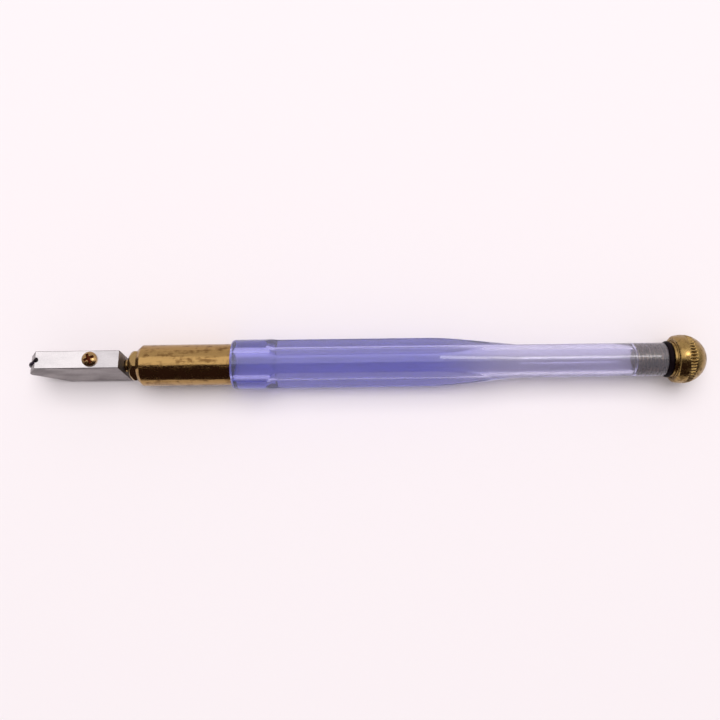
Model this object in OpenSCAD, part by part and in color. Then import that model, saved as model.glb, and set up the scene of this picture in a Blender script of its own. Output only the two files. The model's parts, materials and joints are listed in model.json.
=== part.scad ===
// Oil-fed pencil-grip glass cutter, in millimetres.
// The tool's axis is X: the cutting head points to -X and the ball cap to +X.
// The origin is on the axis, at the middle of the barrel's straight land. +Z is up.

/* [Cutting head] */
// Length of the head from its back face to the nose
head_l = 24.4; // [20:0.1:30]
// Width of the head across its broad faces
head_w = 12.8; // [10:0.1:16]
// Thickness of the head between its broad faces
head_t = 4.8; // [4.6:0.1:6.5]
// How far the nose is set off the tool's axis, towards the screw side
nose_offset = 1.4; // [0:0.1:2]
// Turn of the head about the tool's axis
head_roll = -16.5; // [-45:0.5:45]
// Radius of the small rounding along the head's edges
head_edge_r = 0.25; // [0.1:0.05:0.5]

/* [Cutting wheel] */
// Diameter of the cutting wheel
wheel_d = 4; // [3.3:0.1:4.4]
// Thickness of the cutting wheel
wheel_t = 1; // [0.8:0.05:1.3]
// Angle between the two bevels of the wheel's cutting edge
wheel_angle = 140; // [110:1:160]
// Diameter of the axle that the wheel turns on
axle_d = 0.9; // [0.7:0.05:1.2]
// How far the wheel's edge stands out of the nose
wheel_proud = 0.65; // [0.4:0.05:0.9]

/* [Spindle] */
// Diameter of the spindle where it slides in the nose nut
spindle_d = 3; // [2.5:0.1:3.4]
// How far the head can be pressed back against its spring
press_travel = 0.8; // [0.4:0.1:1]
// How far the head can turn each way on the spindle
swivel_angle = 15; // [5:1:18]

/* [Barrel] */
// Diameter of the brass barrel
barrel_d = 10.9; // [10.4:0.1:12.4]
// Length of the barrel's straight land
barrel_land = 23.5; // [23.5:0.1:28]
// Hexagon size of the nose nut, across its flats
nut_af = 7.7; // [7.2:0.1:8.6]

/* [Handle] */
// Length of the plastic handle, from its shoulder to its tail
handle_l = 113.5; // [94:0.1:140]
// Diameter of the handle at its round front collar
grip_d = 13.1; // [12.4:0.1:16]
// Distance from the axis to each of the three long flats
flat_depth = 5.1; // [4.8:0.05:5.6]
// Length of the round collar in front of the flats
collar_l = 8.6; // [6:0.1:12]
// Length of the grip, from the shoulder to the start of its taper
grip_l = 51.2; // [40:0.1:60]
// Diameter of the slim tail
tail_d = 8.8; // [8.2:0.1:10]

/* [Ball cap] */
// Diameter of the brass ball
ball_d = 12.8; // [11.5:0.1:15]
// Outer diameter of the cap's screwed stem
stem_d = 6; // [5:0.1:6.4]
// Length of the stem inside the tail
stem_l = 7.6; // [5:0.1:12]
// Thickness of the sealing ring under the cap
cap_seal_t = 1.5; // [1.3:0.1:2]

/* [Hidden] */

$fn = 96;
running = 0.05;     // radial clearance of a piece that turns or slides in another
gap = 0.02;         // clearance between two faces that meet
arc_step = 15;      // degrees between the points of a drawn arc

// Places along the axis, from the nose to the ball
barrel_front = -barrel_land / 2;
barrel_back = barrel_land / 2;
barrel_chamfer = 1.2;
barrel_face = barrel_front - barrel_chamfer;
nut_head_l = 2.7;
nut_front = barrel_face - nut_head_l;
head_gap = press_travel + 0.2;
head_back = nut_front - head_gap;
nose_x = head_back - head_l;
screw_x = head_back - 7.4;
socket_depth = 11.2;
socket_end = head_back - socket_depth;

// Nose of the head
nose_land = 1;
chamfer_near = 2.9;     // axial length of the bevel on the screw side
chamfer_far = 7.8;      // axial length of the bevel on the other side
near_front = nose_x + chamfer_near;
far_front = nose_x + chamfer_far;
slot_side = 0.2;        // clearance between the wheel and each side of its slot
slot_w = wheel_t + 2 * slot_side;
slot_end = near_front + 0.85;
wheel_x = nose_x + wheel_d / 2 - wheel_proud;
bearing_r = axle_d / 2 + running;

// Head screw
screw_head_r = 1.95;
screw_head_h = 1.2;
screw_r = 1;
screw_tip_r = 0.75;
screw_tip_z = 1.1;
recess_w = 0.75;
recess_l = 2.7;
recess_depth = 0.65;

// Spindle and its oil ways
spindle_r = spindle_d / 2;
nose_r = spindle_r + 0.05;
bead_r = spindle_r + 0.2;
rod_r = 0.9;
oil_r = 0.45;
pocket_clear = 0.08;
pocket_floor = 0.75;

// Chambers inside the barrel
barrel_r = barrel_d / 2;
shank_r = 3.5;
shank_l = 4.9;
shank_end = barrel_face + shank_l;
seal_r = 0.65;
seal_pocket = 2 * seal_r + 2 * gap;
seal_pocket_r = spindle_r + 2 * seal_r + 0.1;
washer_t = 0.6;
web_front = shank_end + washer_t + gap;
web_t = 1;
web_hole_r = spindle_r + 0.2;
seat_front = web_front + web_t;
seat_t = 2;
seat_hole_r = 1.3;
chamber_r = 3.4;
pad_front = seat_front + seat_t + gap;
pad_t = 1.2;
pad_r = 2.3;
valve_cap_front = pad_front + pad_t;
valve_cap_t = 1.2;
valve_cap_r = 2.9;
spring_front = valve_cap_front + valve_cap_t;
socket_r = 4.2;
socket_l = 7;
chamber_end = barrel_back - socket_l;
retainer_t = 1.4;
spring_back = chamber_end - retainer_t;
shoulder_x = seat_front - press_travel - 0.1;

// Return spring
wire_r = 0.2;
coil_r = 2.2;
coil_turns = 5;
coil_sides = 6;
coil_steps = 16;

// Ring between the barrel and the handle's spigot
spigot_seal_r = 0.6;
spigot_front = chamber_end + 2 * spigot_seal_r + 2 * gap;
spigot_r = socket_r - running;

// Handle
grip_r = grip_d / 2;
tail_r = tail_d / 2;
handle_front = barrel_back;
handle_back = handle_front + handle_l;
taper_front = handle_front + grip_l;
taper_slope = 5.9;
taper_r1 = 60;
taper_r2 = 20;
collar_edge_r = 0.9;
tail_edge_r = 0.35;
runout_l = 3.4;
flat_angles = [60, 180, 300];
stem_r = stem_d / 2;
reservoir_r = stem_r + running;

// Ball cap
ball_r = ball_d / 2;
cap_seal_r = cap_seal_t / 2;
cap_seal_mean = tail_r + 0.4 - cap_seal_r;
cap_face = handle_back + cap_seal_t + 2 * gap;
neck_l = 0.7;
neck_r = tail_r + 0.15;
ball_cut = 6;           // radius of the ball's flat back, where it meets the neck
ball_x = cap_face + neck_l + sqrt(ball_r * ball_r - ball_cut * ball_cut);
cove_r = 0.28;

// Points of an arc in the plane, from angle a0 to a1
function arc(cx, cy, r, a0, a1) =
    let (n = max(1, ceil(abs(a1 - a0) / arc_step)))
    [for (i = [0:n]) let (a = a0 + (a1 - a0) * i / n) [cx + r * cos(a), cy + r * sin(a)]];

// A turned piece on the tool's axis: its outline gives [radius, x]
module turned(outline) {
    rotate([0, 90, 0]) rotate_extrude() polygon(outline);
}

// A round rod or hole on the tool's axis, from x0 to x1
module rod(r, x0, x1) {
    translate([x0, 0, 0]) rotate([0, 90, 0]) cylinder(r = r, h = x1 - x0);
}

// A washer or tube on the tool's axis
module ring(outer, inner, x0, x1) {
    turned([[inner, x0], [outer, x0], [outer, x1], [inner, x1]]);
}

// A round sealing ring on the tool's axis
module seal_ring(mean, r, x) {
    translate([x, 0, 0]) rotate([0, 90, 0]) rotate_extrude() translate([mean, 0]) circle(r = r, $fn = 32);
}

// Puts a piece of the head, drawn upright, at the head's turn about the axis
module at_head() {
    rotate([head_roll, 0, 0]) children();
}

// The head seen on its broad face: x along the tool, y towards the screw side
module head_outline() {
    polygon([
        [head_back, head_w / 2],
        [near_front, head_w / 2],
        [nose_x, nose_offset + nose_land / 2],
        [nose_x, nose_offset - nose_land / 2],
        [far_front, -head_w / 2],
        [head_back, -head_w / 2]
    ]);
}

// The head's cross-section, with small round corners
module head_section() {
    a = head_t / 2 - head_edge_r;
    b = head_w / 2 - head_edge_r;
    polygon(concat(
        arc(a, b, head_edge_r, 0, 90),
        arc(-a, b, head_edge_r, 90, 180),
        arc(-a, -b, head_edge_r, 180, 270),
        arc(a, -b, head_edge_r, 270, 360)
    ));
}

module head_block() {
    intersection() {
        rotate([90, 0, 0]) linear_extrude(head_t, center = true) head_outline();
        translate([nose_x, 0, 0]) rotate([90, 0, 90]) linear_extrude(head_l) head_section();
    }
}

module wheel_slot() {
    translate([nose_x - 1, -slot_w / 2, -head_w])
        cube([slot_end - slot_w / 2 - nose_x + 1, slot_w, 2 * head_w]);
    translate([slot_end - slot_w / 2, 0, -head_w]) cylinder(d = slot_w, h = 2 * head_w);
}

module cross_axis(x, z) {
    translate([x, 0, z]) rotate([90, 0, 0]) children();
}

module cutter_head() {
    color("gainsboro") at_head() difference() {
        head_block();
        wheel_slot();
        cross_axis(wheel_x, nose_offset) cylinder(d = axle_d, h = head_t + 1, center = true);
        rod(nose_r + running, socket_end, head_back + 1);
        rod(oil_r, slot_end - slot_w, socket_end + 1);
        translate([screw_x, 0, 0]) cylinder(r = screw_r, h = head_w);
    }
}

module cutting_wheel() {
    r = wheel_d / 2;
    rim = r - wheel_t / 2 / tan(wheel_angle / 2);
    color("dimgray") at_head() cross_axis(wheel_x, nose_offset) rotate_extrude()
        polygon([
            [bearing_r, -wheel_t / 2],
            [rim, -wheel_t / 2],
            [r, 0],
            [rim, wheel_t / 2],
            [bearing_r, wheel_t / 2]
        ]);
}

module wheel_axle() {
    color("silver") at_head() cross_axis(wheel_x, nose_offset)
        cylinder(d = axle_d, h = head_t - 0.1, center = true);
}

module screw_recess() {
    z = head_w / 2 + screw_head_h - recess_depth;
    for (turn = [25, 115])
        rotate([0, 0, turn]) translate([-recess_l / 2, -recess_w / 2, z]) cube([recess_l, recess_w, screw_head_h]);
}

module screw_pan() {
    flank = 0.45;
    dome = screw_head_h - flank;
    dome_r = (screw_head_r * screw_head_r + dome * dome) / (2 * dome);
    half = asin(screw_head_r / dome_r);
    base = head_w / 2;
    rotate_extrude() polygon(concat(
        [[0, base], [screw_head_r, base]],
        [for (i = [0:6]) let (a = half * (1 - i / 6))
            [dome_r * sin(a), base + screw_head_h - dome_r + dome_r * cos(a)]]
    ));
}

module head_screw() {
    color("goldenrod") at_head() translate([screw_x, 0, 0]) difference() {
        union() {
            screw_pan();
            translate([0, 0, nose_r + running]) cylinder(r = screw_r, h = head_w / 2 - nose_r - running);
            translate([0, 0, screw_tip_z]) cylinder(r = screw_tip_r, h = head_w / 2 - screw_tip_z);
        }
        screw_recess();
    }
}

// The pocket that the screw's tip moves in: its side walls stop the head's turn
module swivel_pocket() {
    reach = swivel_angle + asin(screw_tip_r / nose_r);
    half = (nose_r + running) * sin(reach) + running;
    side = screw_tip_r + pocket_clear;
    translate([screw_x - side, -half, pocket_floor]) cube([2 * side, 2 * half, spindle_d]);
}

module spindle() {
    bead_l = head_gap;
    bead_edge = 0.3;
    color("darkgoldenrod") difference() {
        turned(concat(
            [[0, socket_end + 0.3], [nose_r - 0.3, socket_end + 0.3], [nose_r, socket_end + 0.6],
             [nose_r, head_back]],
            arc(bead_r - bead_edge, head_back + bead_edge, bead_edge, -90, 0),
            arc(bead_r - bead_edge, head_back + bead_l - bead_edge, bead_edge, 0, 90),
            [[spindle_r, nut_front], [spindle_r, shoulder_x], [rod_r, shoulder_x],
             [rod_r, spring_front], [0, spring_front]]
        ));
        rod(oil_r, socket_end, seat_front + seat_t / 2);
        translate([seat_front + seat_t / 2, 0, 0]) cylinder(r = oil_r, h = 3 * rod_r, center = true);
        at_head() swivel_pocket();
    }
}

module valve_pad() {
    color("black") ring(pad_r, rod_r, pad_front, valve_cap_front);
}

module valve_cap() {
    boss_r = coil_r - wire_r - 0.25;
    boss_l = 0.8;
    color("goldenrod") turned([
        [rod_r, valve_cap_front],
        [valve_cap_r, valve_cap_front],
        [valve_cap_r, spring_front],
        [boss_r, spring_front],
        [boss_r, spring_front + boss_l],
        [0, spring_front + boss_l],
        [0, spring_front],
        [rod_r, spring_front]
    ]);
}

module nose_nut() {
    corner_r = nut_af / 2 / cos(30);
    dome_r = 2.4;
    bead_pocket = press_travel + 0.2;
    color("goldenrod") difference() {
        union() {
            intersection() {
                translate([nut_front, 0, 0]) rotate([0, 90, 0]) cylinder(r = corner_r, h = nut_head_l, $fn = 6);
                turned([
                    [0, nut_front],
                    [dome_r, nut_front],
                    [nut_af / 2 - 0.1, nut_front + 0.85],
                    [corner_r + 0.1, nut_front + 2.2],
                    [corner_r + 0.1, barrel_face],
                    [0, barrel_face]
                ]);
            }
            rod(shank_r, barrel_face, shank_end);
        }
        rod(spindle_r + running, nut_front - 1, shank_end + 1);
        rod(bead_r + running, nut_front - 1, nut_front + bead_pocket);
        rod(seal_pocket_r, shank_end - seal_pocket, shank_end + 1);
    }
}

module spindle_seal() {
    color("black") seal_ring(spindle_r + gap + seal_r, seal_r, shank_end - seal_r - gap);
}

module seal_washer() {
    color("goldenrod") ring(shank_r, spindle_r + 0.1, shank_end + gap / 2, shank_end + gap / 2 + washer_t);
}

module barrel() {
    mouth_r = 4.4;
    color("darkgoldenrod") turned([
        [shank_r + gap, barrel_face],
        [mouth_r, barrel_face],
        [barrel_r, barrel_front],
        [barrel_r, barrel_back],
        [socket_r, barrel_back],
        [socket_r, chamber_end],
        [chamber_r, chamber_end],
        [chamber_r, seat_front],
        [web_hole_r, seat_front],
        [web_hole_r, web_front],
        [shank_r + gap, web_front]
    ]);
}

module valve_seat() {
    lip_r = 1.8;
    lip_h = 0.5;
    seat_back = seat_front + seat_t;
    color("goldenrod") turned([
        [seat_hole_r, seat_front],
        [chamber_r - gap, seat_front],
        [chamber_r - gap, seat_back - lip_h],
        [lip_r, seat_back - lip_h],
        [lip_r, seat_back],
        [seat_hole_r, seat_back]
    ]);
}

// Rings of points along the coil, in the order that polyhedron() joins them
module return_spring() {
    n = coil_turns * coil_steps;
    x0 = spring_front + wire_r + gap;
    rise = spring_back - spring_front - 2 * (wire_r + gap);
    points = [for (i = [0:n], j = [0:coil_sides - 1])
        let (
            a = 360 * i / coil_steps,
            b = 360 * j / coil_sides,
            r = coil_r + wire_r * cos(b)
        )
        [x0 + rise * i / n + wire_r * sin(b), r * cos(a), r * sin(a)]];
    sides = [for (i = [0:n - 1], j = [0:coil_sides - 1])
        let (
            k = (j + 1) % coil_sides,
            p = i * coil_sides
        )
        [p + j, p + k, p + k + coil_sides, p + j + coil_sides]];
    first = [for (j = [coil_sides - 1:-1:0]) j];
    last = [for (j = [0:coil_sides - 1]) n * coil_sides + j];
    color("silver") polyhedron(points, concat(sides, [first], [last]));
}

module spring_retainer() {
    hole_r = 1.6;
    color("goldenrod") ring(chamber_r - gap, hole_r, spring_back, chamber_end);
}

module barrel_seal() {
    color("black") seal_ring(socket_r - gap - spigot_seal_r, spigot_seal_r, chamber_end + gap + spigot_seal_r);
}

// Outline of the handle: spigot, round front edge, grip, taper and slim tail
function handle_outline() =
    let (
        drop = grip_r - tail_r,
        arc_drop = (taper_r1 + taper_r2) * (1 - cos(taper_slope)),
        cone_l = (drop - arc_drop) / tan(taper_slope),
        x1 = taper_front,
        x2 = x1 + taper_r1 * sin(taper_slope),
        x3 = x2 + cone_l,
        x4 = x3 + taper_r2 * sin(taper_slope)
    )
    concat(
        [[0, spigot_front], [spigot_r, spigot_front], [spigot_r, handle_front]],
        arc(grip_r - collar_edge_r, handle_front + collar_edge_r, collar_edge_r, -90, 0),
        [for (i = [0:5]) let (a = taper_slope * i / 5)
            [grip_r - taper_r1 * (1 - cos(a)), x1 + taper_r1 * sin(a)]],
        [for (i = [0:3]) let (a = taper_slope * (1 - i / 3))
            [tail_r + taper_r2 * (1 - cos(a)), x4 - taper_r2 * sin(a)]],
        arc(tail_r - tail_edge_r, handle_back - tail_edge_r, tail_edge_r, 0, 90),
        [[0, handle_back]]
    );

// What one long flat takes away: a ramp that starts behind the collar, then a level plane
module flat_cut() {
    ramp_x = handle_front + collar_l;
    steps = 12;
    depth = grip_r - flat_depth;
    rotate([90, 0, 0]) linear_extrude(2 * grip_r, center = true) polygon(concat(
        [for (i = [0:steps])
            [ramp_x + runout_l * i / steps, grip_r - depth * (1 - cos(180 * i / steps)) / 2]],
        [[handle_back, flat_depth], [handle_back, 2 * grip_r], [ramp_x, 2 * grip_r]]
    ));
}

module handle() {
    color([0.35, 0.36, 0.75, 0.7]) difference() {
        turned(handle_outline());
        rod(reservoir_r, spigot_front - 1, handle_back + 1);
        for (a = flat_angles) rotate([a, 0, 0]) flat_cut();
    }
}

module cap_seal() {
    color("black") seal_ring(cap_seal_mean, cap_seal_r, handle_back + gap + cap_seal_r);
}

module ball_cap() {
    stem_front = handle_back - stem_l;
    stem_edge = 0.5;
    start = asin(ball_cut / ball_r);
    color("darkgoldenrod") difference() {
        turned(concat(
            [[0, stem_front], [stem_r - stem_edge, stem_front], [stem_r, stem_front + stem_edge],
             [stem_r, cap_face], [neck_r, cap_face], [neck_r, cap_face + neck_l]],
            [for (i = [0:24]) let (a = start + (180 - start) * i / 24)
                [ball_r * sin(a), ball_x - ball_r * cos(a)]]
        ));
        rotate([0, 90, 0]) rotate_extrude() translate([neck_r + cove_r, cap_face + neck_l]) circle(r = cove_r, $fn = 24);
    }
}

cutter_head();
cutting_wheel();
wheel_axle();
head_screw();
spindle();
valve_pad();
valve_cap();
nose_nut();
spindle_seal();
seal_washer();
barrel();
valve_seat();
return_spring();
spring_retainer();
barrel_seal();
handle();
cap_seal();
ball_cap();
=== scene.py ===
"""The looks of a pencil-grip oil-fed glass cutter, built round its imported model.

Every size is in millimetres until a mesh is made. The tool's axis is X, with the cutting
head towards -X, the ball cap towards +X and +Z up. Each sub-assembly is a class that builds
its pieces, dresses them and fixes them to the body that they move with.
"""

import json
import logging
import math
from dataclasses import dataclass
from enum import Enum
from typing import Callable, Optional, Sequence

import bmesh
import bpy
import numpy as np
from mathutils import Matrix, Vector


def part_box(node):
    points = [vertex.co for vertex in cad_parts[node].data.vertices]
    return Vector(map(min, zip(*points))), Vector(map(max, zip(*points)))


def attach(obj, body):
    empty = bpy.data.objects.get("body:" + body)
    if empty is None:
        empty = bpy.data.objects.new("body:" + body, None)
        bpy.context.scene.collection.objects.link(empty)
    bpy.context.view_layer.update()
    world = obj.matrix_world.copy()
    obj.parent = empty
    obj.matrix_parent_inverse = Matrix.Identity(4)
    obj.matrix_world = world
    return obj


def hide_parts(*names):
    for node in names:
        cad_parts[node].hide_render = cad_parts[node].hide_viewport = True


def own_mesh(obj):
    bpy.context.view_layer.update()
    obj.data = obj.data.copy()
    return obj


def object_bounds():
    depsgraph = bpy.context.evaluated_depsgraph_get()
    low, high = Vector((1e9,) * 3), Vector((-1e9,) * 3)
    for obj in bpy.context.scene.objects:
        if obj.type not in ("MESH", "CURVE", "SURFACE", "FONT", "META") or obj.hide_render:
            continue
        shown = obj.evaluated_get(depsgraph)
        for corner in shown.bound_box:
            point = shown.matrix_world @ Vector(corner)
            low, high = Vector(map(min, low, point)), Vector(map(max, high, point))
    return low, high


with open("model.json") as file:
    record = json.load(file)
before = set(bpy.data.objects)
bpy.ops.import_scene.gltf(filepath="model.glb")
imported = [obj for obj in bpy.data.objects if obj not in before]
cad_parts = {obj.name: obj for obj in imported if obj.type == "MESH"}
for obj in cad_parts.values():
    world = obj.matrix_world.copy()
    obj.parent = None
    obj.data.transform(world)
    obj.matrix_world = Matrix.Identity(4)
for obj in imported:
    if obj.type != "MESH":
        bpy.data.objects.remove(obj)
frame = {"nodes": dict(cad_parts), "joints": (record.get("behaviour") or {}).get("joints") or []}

LOG = logging.getLogger("glass_cutter")
MM = 0.001
CAD_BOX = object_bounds()

Point = tuple[float, float]
Colour = tuple[float, float, float]
Piece = bpy.types.Object
Socket = bpy.types.NodeSocket

CREASE = 33.0  # degrees between two faces past which their edge is shaded sharp
HARD_EDGE = 40.0  # degrees between two faces past which their edge is broken
VEE_SHARPNESS = 2.3  # how steeply a thread's flanks rise


class Body(Enum):
    """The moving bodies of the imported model."""

    GRIP = "grip"
    PLUNGER = "plunger"
    HEAD = "head"
    WHEEL = "wheel"
    CAP_RING = "cap_ring"
    CAP = "cap"


# ---------------------------------------------------------------- node building


class NodeTree:
    """A node tree under construction, with short ways to add and join its nodes."""

    tree: bpy.types.NodeTree

    def fill(self, target: Socket, value) -> None:
        """Sets an input to a value, or joins it to another node's output."""
        if isinstance(value, Socket):
            self.tree.links.new(value, target)
        else:
            target.default_value = value

    def add(self, kind: str, values: Optional[dict] = None, **settings) -> bpy.types.Node:
        """Adds a node.

        Args:
            kind: the node type's name.
            values: what each named input is set to, or the socket it is joined to.
            settings: the node's own properties.

        Returns:
            The new node.
        """
        node = self.tree.nodes.new(kind)
        for name, value in settings.items():
            setattr(node, name, value)
        for name, value in (values or {}).items():
            self.fill(node.inputs[name], value)
        return node

    def math(self, operation: str, *values) -> Socket:
        """Adds a maths node on numbers or sockets."""
        node = self.add("ShaderNodeMath", operation=operation)
        for socket, value in zip(node.inputs, values):
            self.fill(socket, value)
        return node.outputs[0]


class Shader(NodeTree):
    """A surface material under construction."""

    def __init__(self, name: str) -> None:
        """Starts a material that has one Principled surface.

        Args:
            name: the material's name.
        """
        self.material = bpy.data.materials.new(name)
        self.material.use_nodes = True
        self.tree = self.material.node_tree
        self.tree.nodes.clear()
        self.output = self.add("ShaderNodeOutputMaterial")
        self.surface = self.add("ShaderNodeBsdfPrincipled")
        self.fill(self.output.inputs["Surface"], self.surface.outputs[0])

    def set(self, **values) -> None:
        """Sets the surface's inputs, whose names are written with _ for a space."""
        for name, value in values.items():
            self.fill(self.surface.inputs[name.replace("_", " ")], value)

    def place(self, stretch: Sequence[float] = (1, 1, 1), turn: float = 0.0) -> Socket:
        """Gives the object's coordinates in millimetres.

        Args:
            stretch: the scale along X, Y and Z; a small one draws a pattern out.
            turn: degrees that the pattern is turned about X.

        Returns:
            The socket with the coordinates.
        """
        source = self.add("ShaderNodeTexCoord").outputs["Object"]
        scale = tuple(s / MM for s in stretch)
        mapping = self.add("ShaderNodeMapping", {"Vector": source, "Scale": scale,
                                                 "Rotation": (math.radians(turn), 0, 0)})
        return mapping.outputs[0]

    def noise(self, place: Socket, scale: float, detail: float = 3.0,
              rough: float = 0.55) -> Socket:
        """Gives a noise of `scale` cycles a millimetre, from 0 to 1, with its middle near 0.5."""
        node = self.add("ShaderNodeTexNoise", {"Vector": place, "Scale": scale, "Detail": detail,
                                               "Roughness": rough})
        return node.outputs[0]

    def along(self) -> Socket:
        """Gives each point's place along the tool's axis, in millimetres."""
        return self.add("ShaderNodeSeparateXYZ", {"Vector": self.place()}).outputs[0]

    def curve(self, value: Socket, low: float, high: float, at_low: float = 0.0,
              at_high: float = 1.0) -> Socket:
        """Turns a value from low to high into one from at_low to at_high, held at both ends."""
        node = self.add("ShaderNodeMapRange", {"Value": value, "From Min": low, "From Max": high,
                                               "To Min": at_low, "To Max": at_high},
                        interpolation_type="SMOOTHSTEP")
        return node.outputs[0]

    def blend(self, amount: Socket, first: Colour, second: Colour) -> Socket:
        """Mixes two colours, or a socket's colour and a second one, by an amount."""
        node = self.add("ShaderNodeMix", data_type="RGBA")
        self.fill(node.inputs[0], amount)
        for socket, colour in ((node.inputs[6], first), (node.inputs[7], second)):
            self.fill(socket, (*colour, 1) if isinstance(colour, tuple) else colour)
        return node.outputs[2]

    def relief(self, height: Socket, depth: float, strength: float = 1.0) -> None:
        """Gives the surface a fine relief.

        Args:
            height: the relief's height, 0 to 1.
            depth: its depth in millimetres.
            strength: how much of it shows.
        """
        node = self.add("ShaderNodeBump", {"Height": height, "Distance": depth * MM,
                                           "Strength": strength})
        self.set(Normal=node.outputs[0])


class Rule(NodeTree):
    """A Geometry Nodes tree under construction, with named sizes as its inputs."""

    def __init__(self, name: str, sizes: dict) -> None:
        """Starts a tree.

        Args:
            name: the tree's name.
            sizes: each named input with its value, in metres, radians or a whole number.
        """
        self.tree = bpy.data.node_groups.new(name, "GeometryNodeTree")
        face = self.tree.interface
        face.new_socket("Geometry", in_out="INPUT", socket_type="NodeSocketGeometry")
        face.new_socket("Geometry", in_out="OUTPUT", socket_type="NodeSocketGeometry")
        self.sizes = sizes
        for label, value in sizes.items():
            kind = "NodeSocketInt" if isinstance(value, int) else "NodeSocketFloat"
            face.new_socket(label, in_out="INPUT", socket_type=kind)
        self.inputs = self.tree.nodes.new("NodeGroupInput")
        self.outputs = self.tree.nodes.new("NodeGroupOutput")

    def size(self, label: str) -> Socket:
        """Gives the socket of a named input."""
        return self.inputs.outputs[label]

    def held(self, value: Socket) -> Socket:
        """Holds a value between 0 and 1."""
        return self.math("MINIMUM", self.math("MAXIMUM", value, 0.0), 1.0)

    def share(self, value: Socket, start: Socket, length: Socket) -> Socket:
        """Gives how far a value is past a start, as a share of a length."""
        return self.math("DIVIDE", self.math("SUBTRACT", value, start), length)

    def mix(self, amount: Socket, first: Socket, second: Socket) -> Socket:
        """Goes from a first value to a second one as the amount goes from 0 to 1."""
        return self.math("ADD", self.math("MULTIPLY", first, self.math("SUBTRACT", 1.0, amount)),
                         self.math("MULTIPLY", second, amount))

    def cylinder_place(self) -> tuple:
        """Reads each point's place.

        Returns:
            Its X, its angle about the X axis from +Z towards +Y, and its distance from that axis.
        """
        position = self.add("GeometryNodeInputPosition").outputs[0]
        x, y, z = self.add("ShaderNodeSeparateXYZ", {"Vector": position}).outputs[:3]
        angle = self.math("ARCTAN2", y, z)
        squares = self.math("ADD", self.math("MULTIPLY", y, y), self.math("MULTIPLY", z, z))
        distance = self.math("SQRT", squares)
        return x, angle, distance

    def set_radius(self, angle: Socket, radius: Socket,
                   x: Socket) -> Socket:
        """Moves each point of the input geometry to a radius about the X axis.

        Args:
            angle: its angle about the axis.
            radius: its new distance from the axis.
            x: its place along the axis.

        Returns:
            The moved geometry.
        """
        across = self.math("MULTIPLY", radius, self.math("SINE", angle))
        upward = self.math("MULTIPLY", radius, self.math("COSINE", angle))
        target = self.add("ShaderNodeCombineXYZ", {"X": x, "Y": across, "Z": upward}).outputs[0]
        moved = self.add("GeometryNodeSetPosition", {"Geometry": self.size("Geometry"),
                                                     "Position": target})
        return moved.outputs[0]

    def finish(self, geometry: Socket, material: bpy.types.Material) -> None:
        """Ends the tree in realised geometry that carries a material."""
        real = self.add("GeometryNodeRealizeInstances", {"Geometry": geometry}).outputs[0]
        dressed = self.add("GeometryNodeSetMaterial", {"Geometry": real, "Material": material})
        self.fill(self.outputs.inputs[0], dressed.outputs[0])

    def apply(self, piece: Piece) -> Piece:
        """Runs the tree on a piece and keeps its result as the piece's plain mesh."""
        modifier = piece.modifiers.new(self.tree.name, "NODES")
        modifier.node_group = self.tree
        for item in self.tree.interface.items_tree:
            if item.in_out == "INPUT" and item.name in self.sizes:
                modifier[item.identifier] = self.sizes[item.name]
        piece.update_tag()
        return bake(piece)


def bake(piece: Piece) -> Piece:
    """Applies a piece's modifiers, so that it is a plain mesh."""
    bpy.context.view_layer.update()
    shaped = piece.evaluated_get(bpy.context.evaluated_depsgraph_get())
    mesh = bpy.data.meshes.new_from_object(shaped)
    piece.modifiers.clear()
    old, piece.data = piece.data, mesh
    bpy.data.meshes.remove(old)
    mesh.name = piece.name
    return piece


# ---------------------------------------------------------------- finishes


MADE: dict[str, bpy.types.Material] = {}


@dataclass(frozen=True)
class Finish:
    """What a surface looks like. Each kind of finish says how its nodes are drawn."""

    name: str
    slot: str
    colour: Colour
    roughness: float

    def draw(self, shader: Shader) -> None:
        """Draws the finish's nodes on a new material."""
        raise NotImplementedError

    def make(self) -> bpy.types.Material:
        """Gives the finish's material, which is built once."""
        if self.name not in MADE:
            shader = Shader(self.name)
            self.draw(shader)
            MADE[self.name] = shader.material
        return MADE[self.name]


@dataclass(frozen=True)
class GroundSteel(Finish):
    """Steel that was ground along one way, with fine lines, faint stains and stray scratches."""

    shade: Colour = (0.56, 0.55, 0.56)
    grain: tuple[float, float, float] = (0.5, 9.0, 9.0)
    grain_depth: float = 0.003
    dull_from: Optional[float] = None
    dull_run: float = 3.0
    dull_share: float = 0.65
    scratch: Colour = (0.2, 0.2, 0.21)

    def draw(self, shader: Shader) -> None:
        """Draws the ground surface."""
        lines = shader.noise(shader.place(self.grain), 1.0, 4.0, 0.6)
        stains = shader.noise(shader.place((0.5, 1, 1)), 0.3, 3.0, 0.55)
        scratches = shader.noise(shader.place((0.12, 7.0, 3.0), 31.0), 1.0, 2.0, 0.5)
        marks = shader.curve(scratches, 0.66, 0.72)
        tone = shader.curve(stains, 0.35, 0.75)
        if self.dull_from is not None:
            dull = shader.curve(shader.along(), self.dull_from, self.dull_from + self.dull_run)
            tone = shader.math("ADD", shader.math("MULTIPLY", tone, 1 - self.dull_share),
                               shader.math("MULTIPLY", dull, self.dull_share))
        worn = shader.blend(tone, self.colour, self.shade)
        wear = shader.math("ADD", lines, shader.math("MULTIPLY", tone, 0.3))
        shader.set(Base_Color=shader.blend(shader.math("MULTIPLY", marks, 0.35), worn, self.scratch),
                   Metallic=1.0,
                   Roughness=shader.curve(wear, 0.2, 1.0, self.roughness * 0.75, self.roughness * 1.5))
        height = shader.math("ADD", lines, shader.math("MULTIPLY", marks, -0.6))
        shader.relief(height, self.grain_depth, 0.5)


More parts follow.
